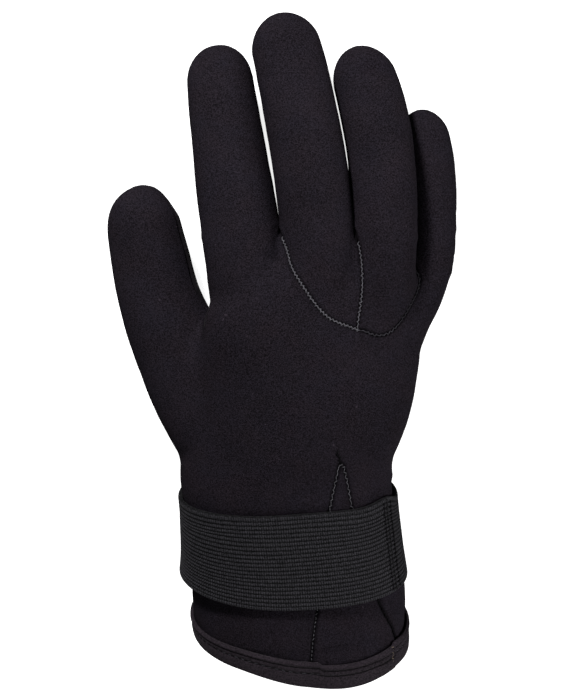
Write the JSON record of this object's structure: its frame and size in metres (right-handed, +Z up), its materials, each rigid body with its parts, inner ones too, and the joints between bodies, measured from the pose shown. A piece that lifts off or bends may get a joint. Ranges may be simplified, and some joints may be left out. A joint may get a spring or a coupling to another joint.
{
  "type": "neoprene glove",
  "caption": "Right-hand neoprene glove with an elastic wrist strap, lying palm down with its fingers slightly bent and its cuff open.",
  "frame": {"origin": "centre of the glove's footprint, on the surface that it lies on", "axes": "+X to the little finger's side, +Y from the hem to the fingertips, +Z up, away from the back of the hand"},
  "size_m": [0.1434, 0.2748, 0.0675],
  "materials": {
    "neoprene": "charcoal neoprene with a fine knitted nylon face, matt with a faint sheen",
    "grip_palm": "darker neoprene palm with small printed grip dots, matt",
    "edge_tape": "folded stretch edge tape, sewn with two rows of stitches",
    "elastic": "ribbed woven elastic, slightly shiny on its ribs",
    "hook_tape": "woven hook tape, its plain back outwards",
    "loop_tape": "brushed loop tape"
  },
  "bodies": {
    "root": {"back_panel": "neoprene", "middle_finger_back": "neoprene", "ring_finger_back": "neoprene", "palm_panel": "grip_palm", "wrist_gusset": "neoprene", "hem_binding": "edge_tape", "wrist_strap": "elastic", "strap_hook_tab": "hook_tape", "loop_patch": "loop_tape"}
  },
  "joints": []
}
